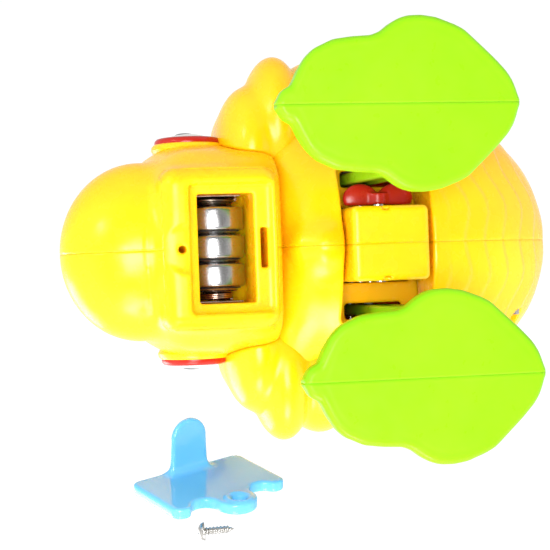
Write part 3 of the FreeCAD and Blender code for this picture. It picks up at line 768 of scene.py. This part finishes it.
def make_trim():
    comb = sculpt("comb_crest", comb_field, corners("comb")[0] - 2, corners("comb")[1] + 2, FINE, RED)
    place(comb, "chicken", "red_plastic", "comb")
    lo, hi = corners("wing_left")
    left = sculpt("wing_feathers_left", wing_field, (8, lo[1] - 4, lo[2] - 3), hi + (3, 9, 4), FINE, YELLOW)
    right = mirror(left, "wing_feathers_right")
    place(left, "chicken", "yellow_shell", "wing_left")
    place(right, "chicken", "yellow_shell", "wing_right")
    lo, hi = corners("tail")
    tail = sculpt("tail_feathers", tail_field, lo - 2, hi + 2, FINE, YELLOW)
    place(tail, "chicken", "yellow_shell", "tail")


# ---------------------------------------------------------------- clockwork case and key
# Shaft holes through the case: height and radius
SHAFT_HOLES = ((WINDER_Z, 1.56), (CRANK_Z, 1.26), (middle("idler_axle")[2], 0.76),
               (middle("governor_axle")[2], 0.66))


def case_field(x, y, z):
    """A thin-walled box with its shaft holes and a small notch in its lower edge."""
    lo = (-CASE_HI[0], CASE_LO[1], CASE_LO[2])
    outside = rounded_box(x, y, z, lo, CASE_HI, 1.1)
    d = np.maximum(outside, -(outside + CASE_WALL))
    for height, radius in SHAFT_HOLES:
        d = cut(d, tube_x(x, y, z, SHAFT_Y, height, radius), 0.2)
    notch = rounded_box(x, y, z, (CASE_HI[0] - CASE_WALL, SHAFT_Y - 1.6, CASE_LO[2] - 1),
                        (CASE_HI[0] + 2, SHAFT_Y - 0.2, CASE_LO[2] + 1.2), 0.3)
    return cut(d, notch, 0.3)


def make_case():
    low = (0, CASE_LO[1], CASE_LO[2])
    left = sculpt("clockwork_case_left", case_field, low, CASE_HI, FINE, YELLOW, (SEAM, 1))
    right = mirror(left, "clockwork_case_right")
    place(left, "chicken", "yellow_case", "motor_case_left")
    place(right, "chicken", "yellow_case", "motor_case_right")


KEY_HUB_R, KEY_BORE_R = 2.0, 1.5
KEY_LOBE_Y, KEY_LOBE = 3.5, (2.8, 3.5, 0.95)    # a wing's distance from the hub and its half axes


def key_field(x, y, z):
    """A hub with two rounded wings, bored for the winding arbor."""
    lo, hi = corners("winding_key")
    near, cy, cz = lo[0], (lo[1] + hi[1]) / 2, (lo[2] + hi[2]) / 2
    hub = np.maximum(tube_x(x, y, z, cy, cz, KEY_HUB_R), np.abs(x - near - 0.7) - 1.1)
    wings = [ellipsoid(x, y, z, (near + 0.9, cy + side * KEY_LOBE_Y, cz), KEY_LOBE) for side in (-1, 1)]
    d = blend_min(hub, blend_min(wings[0], wings[1], 0.6), 0.8)
    d = blend_max(d, near - 0.45 - x, 0.3)
    return cut(d, np.maximum(tube_x(x, y, z, cy, cz, KEY_BORE_R), x - near - 0.6), 0.1)


def make_key():
    lo, hi = corners("winding_key")
    key = sculpt("winding_key_butterfly", key_field, lo - 0.5, hi + 0.5, KEY_STEP, RED)
    place(key, "winder", "red_plastic", "winding_key")


# ---------------------------------------------------------------- feet
FOOT_SHARES = np.array([0.0, 0.012, 0.03, 0.05, 0.066, 0.08, 0.12, 0.158, 0.235, 0.313, 0.39, 0.43, 0.467,
                        0.506, 0.544, 0.60, 0.66, 0.737, 0.776, 0.815, 0.853, 0.90, 0.95, 0.98, 1.0])
FOOT_WIDTHS = np.array([0.0, 1.9, 2.7, 3.2, 3.5, 5.2, 8.3, 9.9, 11.5, 12.0, 12.2, 12.9, 14.2,
                        15.2, 15.7, 15.8, 15.4, 14.1, 13.2, 11.6, 10.0, 8.0, 5.6, 3.4, 0.0])


SOLE_ROUND, TOP_ROUND, SOLE_Z = 1.3, 3.2, 0.06
TOE_SPACING, TOE_WIDE = 5.2, 2.1
FLASH, RIM = 0.06, 0.05           # height of the seam's flash line, depth of the line inside the sole's edge
FOOT_REACH = 17                   # more than a foot half's width


def foot_width(share):
    """Half width of a sole at a share of its length, smoothed between the named widths."""
    s = np.clip(share, 0, 1)
    width = np.zeros_like(s)
    spread = 0.007
    for k in (-1.5, -0.5, 0.5, 1.5):
        width = width + np.interp(s + k * spread, FOOT_SHARES, FOOT_WIDTHS)
    return width / 4


def make_foot(name, side):
    """A foot in two halves that meet along its middle; the inner half holds the leg."""
    lo_in, hi_in = corners("foot_%s_inner" % name)
    lo_out, hi_out = corners("foot_%s_outer" % name)
    seam_x = hi_in[0] if side > 0 else lo_in[0]
    y0, y1 = lo_out[1], hi_out[1]
    long, high = y1 - y0, hi_out[2]
    leg_lo, leg_hi = corners("leg_" + name)

    def whole(x, y, z):
        share = (y - y0) / long
        slope = (foot_width(share + 0.01) - foot_width(share - 0.01)) / (0.02 * long)
        edge = (np.abs(x - seam_x) - foot_width(share)) / np.sqrt(1 + np.minimum(slope * slope, 6.0))
        edge = np.maximum(edge, np.maximum(y0 - y, y - y1))
        bottom = blend_corner(edge, SOLE_Z - z, SOLE_ROUND)
        toes = sum(line_bump(x - seam_x - k * TOE_SPACING, TOE_WIDE) for k in (-1, 0, 1))
        hump = 1.2 * toes * ramp(-share, -0.42, -0.18) + 0.9 * ramp(share, 0.35, 0.5)
        top = blend_corner(edge, z - (high - 1.4) - hump * 0.7, TOP_ROUND)
        flash = FLASH * line_bump(x - seam_x, 0.3) * line_bump(z, 0.8)
        rim = RIM * line_bump(edge + 1.9, 0.5) * line_bump(z, 0.9)
        return np.maximum(bottom, top) - flash + rim

    def held(x, y, z):
        pocket = rounded_box(x, y, z, leg_lo, leg_hi + (0, 0, 5), 0.1)
        return cut(whole(x, y, z), pocket - TOUCH, 0.2)

    for part, out, field in (("outer", side, whole), ("inner", -side, held)):
        lo = (min(seam_x, seam_x + out * FOOT_REACH), y0, 0)
        hi = (max(seam_x, seam_x + out * FOOT_REACH), y1, high + 0.6)
        plane = (seam_x + out * SEAM, out)
        piece = sculpt("foot_%s_%s_half" % (name, part), field, lo, hi, FINE, LIME, plane)
        place(piece, name + "_leg_and_foot", "lime_foot", "foot_%s_%s" % (name, part))


CRANK_PIN_R, WINDOW_R = 0.95, 2.9
PANEL_Y, WEB = 1.7, 0.75          # half width of a leg's sunk panels, half of the web between them


def make_leg(name):
    """A flat strut with its crank hole, the guide pin's window and a sunk panel in each face."""
    lo, hi = corners("leg_" + name)
    leg_x, leg_y = (lo[0] + hi[0]) / 2, (lo[1] + hi[1]) / 2

    def field(x, y, z):
        d = rounded_box(x, y, z, lo, hi, 0.5)
        d = cut(d, tube_x(x, y, z, leg_y, CRANK_Z, CRANK_PIN_R), 0.2)
        d = cut(d, tube_x(x, y, z, leg_y, middle("guide_pins")[2], WINDOW_R), 0.3)
        panel = rounded_box(x, y, z, (lo[0] - 9, leg_y - PANEL_Y, lo[2] + 8),
                            (hi[0] + 9, leg_y + PANEL_Y, CRANK_Z - 6), 1.2)
        return np.maximum(d, -np.maximum(panel, WEB - np.abs(x - leg_x)))

    piece = sculpt("leg_%s_strut" % name, field, lo, hi, FINE, LIME)
    place(piece, name + "_leg_and_foot", "lime_foot", "leg_" + name)


# ---------------------------------------------------------------- loose cover and screw
COVER_LEAN, COVER_HEADING = 74.0, 179.0         # degrees
COVER_X, COVER_Y, COVER_T, COVER_ROUND = 11.8, 7.6, 2.0, 1.6
TAB_R, TONGUE_X, TONGUE_T, TONGUE_H = 3.7, 3.6, 1.1, 10.0
TAB_Y, TONGUE_Y = -COVER_Y - 0.8, COVER_Y - 0.65
NOTCH_X, NOTCH_R = 6.3, 2.6       # the hollows beside the tab
HOLE_R, SINK_R, COLLAR_R = 1.2, 2.0, 2.1


def settle(obj, node, angles):
    """Turns a piece made about the origin and moves it so that its box is where the CAD node's is."""
    for axis, degrees in angles:
        obj.data.transform(Matrix.Rotation(math.radians(degrees), 4, axis))
    co = np.array([v.co for v in obj.data.vertices])
    lo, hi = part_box(node)
    middle_now, middle_then = (co.min(0) + co.max(0)) / 2, (np.array(lo) + np.array(hi)) / 2
    shift = middle_then - middle_now
    shift[2] = lo[2] - co.min(0)[2]
    obj.data.transform(Matrix.Translation(Vector(shift)))


def cover_field(x, y, z):
    """The plate with its tab, screw hole and collar, and the tongue that hooks into the head's slot."""
    flat = rounded_box(x, y, 0 * z, (-COVER_X, -COVER_Y, -9), (COVER_X, COVER_Y, 9), COVER_ROUND)
    for side in (-1, 1):
        flat = cut(flat, tube_z(x, y, z, side * NOTCH_X, -COVER_Y - 0.6, NOTCH_R), 0.8)
    flat = blend_min(flat, tube_z(x, y, z, 0, TAB_Y, TAB_R), 0.7)
    d = blend_corner(flat, np.abs(z - COVER_T / 2) - COVER_T / 2, 0.4)
    hole_y = TAB_Y - 0.8
    from_hole = np.sqrt(x * x + (y - hole_y) ** 2)
    collar = np.abs(from_hole - COLLAR_R) - 0.35
    d = blend_min(d, np.maximum(collar, np.abs(z + 0.1) - 0.25), 0.5)
    flare = (TONGUE_X / (TONGUE_X + 0.3 * np.clip((z + 6) / 6, 0, 1))) ** 2
    blade = np.sqrt((x * x) * flare + np.minimum(z + TONGUE_H - TONGUE_X, 0) ** 2) - TONGUE_X
    blade = blend_corner(blade, np.abs(y - TONGUE_Y + TONGUE_T / 2) - TONGUE_T / 2, 0.4)
    d = blend_min(d, np.maximum(blade, z - 0.5), 2.0)
    sink = from_hole - SINK_R - np.maximum(z - COVER_T + 0.4, 0)
    return cut(cut(d, from_hole - HOLE_R, 0.4), np.maximum(sink, COVER_T - 0.5 - z), 0.3)


def make_cover():
    """The cover stands on its tab and one corner, so it is turned by the rise of the line between them."""
    across, along = COVER_X - COVER_ROUND, COVER_ROUND - COVER_Y - TAB_Y
    rise = math.atan2(along, across) + math.asin((TAB_R - COVER_ROUND) / math.hypot(across, along))
    lo, hi = (-COVER_X, -COVER_Y - 5, -TONGUE_H), (COVER_X, COVER_Y, COVER_T)
    cover = sculpt("cover_blue", cover_field, lo, hi, COVER_STEP, BLUE)
    angles = (("Z", 90 - math.degrees(rise)), ("Y", COVER_LEAN), ("Z", COVER_HEADING))
    settle(cover, "battery_cover", angles)
    place(cover, "loose_cover", "blue_cover", "battery_cover")


HEAD_RADIUS, HEAD_HIGH, SHANK, PITCH = 1.6, 1.2, 5.2, 0.62
CORE_R, THREAD_HIGH = 0.52, 0.2
CROSS_HALF, CROSS_LONG, CROSS_DEEP = 0.2, 0.85, 0.55


def make_screw():
    """Pan head with a cross recess, and a pointed shank with a helical thread, along Y."""
    def field(x, y, z):
        head = np.maximum(ellipsoid(x, y, z, (0, 0.0, 0), (HEAD_RADIUS, HEAD_HIGH, HEAD_RADIUS)), y)
        ax, az = np.abs(x), np.abs(z)
        cross = np.minimum(np.maximum(ax - CROSS_HALF, az - CROSS_LONG),
                           np.maximum(az - CROSS_HALF, ax - CROSS_LONG))
        head = cut(head, np.maximum(cross, y + CROSS_DEEP), 0.08)
        turn = np.mod(y / PITCH - np.arctan2(z, x) / (2 * np.pi), 1.0)
        radius = CORE_R + THREAD_HIGH * np.clip(1 - np.abs(turn - 0.5) * 3.0, 0, 1)
        radius = radius * np.clip((SHANK - y) / 1.2, 0.05, 1)
        shank = np.maximum((np.sqrt(x * x + z * z) - radius) * 0.7, np.maximum(-y - 0.2, y - SHANK))
        return np.minimum(head, shank)

    lo, hi = (-1.7, -1.3, -1.7), (1.7, SHANK + 0.1, 1.7)
    screw = sculpt("cover_screw_threaded", field, lo, hi, SCREW_STEP, SCREW_STEEL)
    droop = math.degrees(math.atan2(0.9, SHANK))      # the head's rim stands 0.9 mm out past the thread
    settle(screw, "cover_screw", (("X", -droop), ("Z", -3.0)))
    place(screw, "loose_screw", "screw_steel", "cover_screw")


# ---------------------------------------------------------------- pieces kept from the frame
KEPT = {"circuit_board": BOARD, "buzzer": BLACK, "tilt_switch": SCREW_STEEL, "board_posts": YELLOW_INNER,
        "led_left": LAMP, "led_right": LAMP, "mainspring": SPRING_STEEL}
for material, nodes in ((SCREW_STEEL, ("shell_screws", "case_screws", "guide_pins")),
                        (AXLE_STEEL, ("winding_arbor", "idler_axle", "crank_shaft", "governor_axle",
                                      "governor_weights")),
                        (NYLON, ("great_gear", "idler_gear", "idler_pinion", "crank_gear", "crank_pinion",
                                 "crank_disc_left", "crank_disc_right", "leg_retainer_left",
                                 "leg_retainer_right", "governor_pinion"))):
    KEPT.update((node, material) for node in nodes)


def finish_kept():
    """CAD nodes that stay in the picture, or inside the toy, get a finish and nothing else."""
    for node, material in KEPT.items():
        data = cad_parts[node].data
        data.materials.clear()
        data.materials.append(material)


# ---------------------------------------------------------------- floor, light, camera
def make_floor():
    """A pale floor that is seen from above only, so that the soles can be looked at from below."""
    mesh = bpy.data.meshes.new("floor")
    half, below = 3.0, 0.0006
    square = [(-half, -half, 0), (half, -half, 0), (half, half, 0), (-half, half, 0)]
    mesh.from_pydata(square, [], [(0, 1, 2, 3)])
    floor = bpy.data.objects.new("floor", mesh)
    floor.location.z = -below
    COLLECTION.objects.link(floor)
    material, tree, bsdf = new_material("pale_floor")
    clouds = two_tone(tree, noise(tree, 3, 4), (0.80, 0.80, 0.79), (0.84, 0.84, 0.83))
    tree.links.new(clouds, bsdf.inputs["Base Color"])
    bsdf.inputs["Roughness"].default_value = 0.6
    side = tree.nodes.new("ShaderNodeNewGeometry")
    clear = tree.nodes.new("ShaderNodeBsdfTransparent")
    mix = tree.nodes.new("ShaderNodeMixShader")
    tree.links.new(side.outputs["Backfacing"], mix.inputs["Fac"])
    tree.links.new(bsdf.outputs["BSDF"], mix.inputs[1])
    tree.links.new(clear.outputs["BSDF"], mix.inputs[2])
    tree.links.new(mix.outputs["Shader"], tree.nodes["Material Output"].inputs["Surface"])
    mesh.materials.append(material)
    for ray in ("visible_diffuse", "visible_glossy", "visible_transmission", "visible_shadow"):
        setattr(floor, ray, False)


def area_light(name, at, target, size, power):
    data = bpy.data.lights.new(name, "AREA")
    data.shape, data.size, data.energy = "SQUARE", size, power
    light = bpy.data.objects.new(name, data)
    light.location = at
    light.rotation_euler = (Vector(target) - Vector(at)).to_track_quat("-Z", "Y").to_euler()
    COLLECTION.objects.link(light)


def make_light():
    """A white studio, dimmer overhead and underfoot and brighter on the right side, with four soft lights."""
    world = bpy.data.worlds.new("studio")
    world.use_nodes = True
    tree = world.node_tree
    background = tree.nodes["Background"]
    background.inputs["Color"].default_value = (1, 1, 1, 1)
    way = tree.nodes.new("ShaderNodeSeparateXYZ")
    tree.links.new(tree.nodes.new("ShaderNodeTexCoord").outputs["Generated"], way.inputs["Vector"])
    below = mapped(tree, way.outputs["Z"], 0.25, 1.0, -0.92, -0.25)
    above = mapped(tree, way.outputs["Z"], 1.0, 0.63, -0.15, 0.35)
    side = mapped(tree, way.outputs["X"], 2.35, 1.1, -0.9, 0.9)
    strength = side
    for share in (below, above):
        product = tree.nodes.new("ShaderNodeMath")
        product.operation = "MULTIPLY"
        tree.links.new(strength, product.inputs[0])
        tree.links.new(share, product.inputs[1])
        strength = product.outputs[0]
    tree.links.new(strength, background.inputs["Strength"])
    bpy.context.scene.world = world
    aim = (0, -0.01, 0.03)
    area_light("beside_camera", (-0.04, -0.13, -0.42), aim, 0.22, 2.7)
    area_light("under_right", (-0.36, -0.10, -0.16), aim, 0.16, 1.2)
    area_light("strip_left", (0.20, -0.40, -0.20), aim, 0.06, 0.3)
    area_light("over_front", (-0.25, -0.35, 0.45), aim, 0.30, 1.6)


def make_camera():
    """Looks up at the soles, 12 degrees from straight up, with the bill to the picture's left."""
    target = Vector((-0.0053, -0.0188, 0.020))
    tilt, roll, distance = math.radians(12), math.radians(-2), 0.300
    forward = Vector((0, math.sin(tilt), math.cos(tilt)))
    up = Vector((1, 0, 0))
    right = forward.cross(up)
    turn = Matrix((right, up, -forward)).transposed() @ Matrix.Rotation(roll, 3, "Z")
    data = bpy.data.cameras.new("camera")
    data.lens, data.sensor_width, data.clip_start = 105, 36, 0.01      # millimetres twice, then metres
    camera = bpy.data.objects.new("camera", data)
    camera.matrix_world = Matrix.Translation(target - forward * distance) @ turn.to_4x4()
    COLLECTION.objects.link(camera)
    bpy.context.scene.camera = camera


bpy.context.scene.view_settings.view_transform = "Standard"
make_camera()
make_light()
make_floor()
make_head()
make_battery_bay()
make_eyes()
make_body()
make_trim()
make_case()
make_key()
for leg_name, leg_side in SIDES:
    make_foot(leg_name, leg_side)
    make_leg(leg_name)
make_cover()
make_screw()
finish_kept()
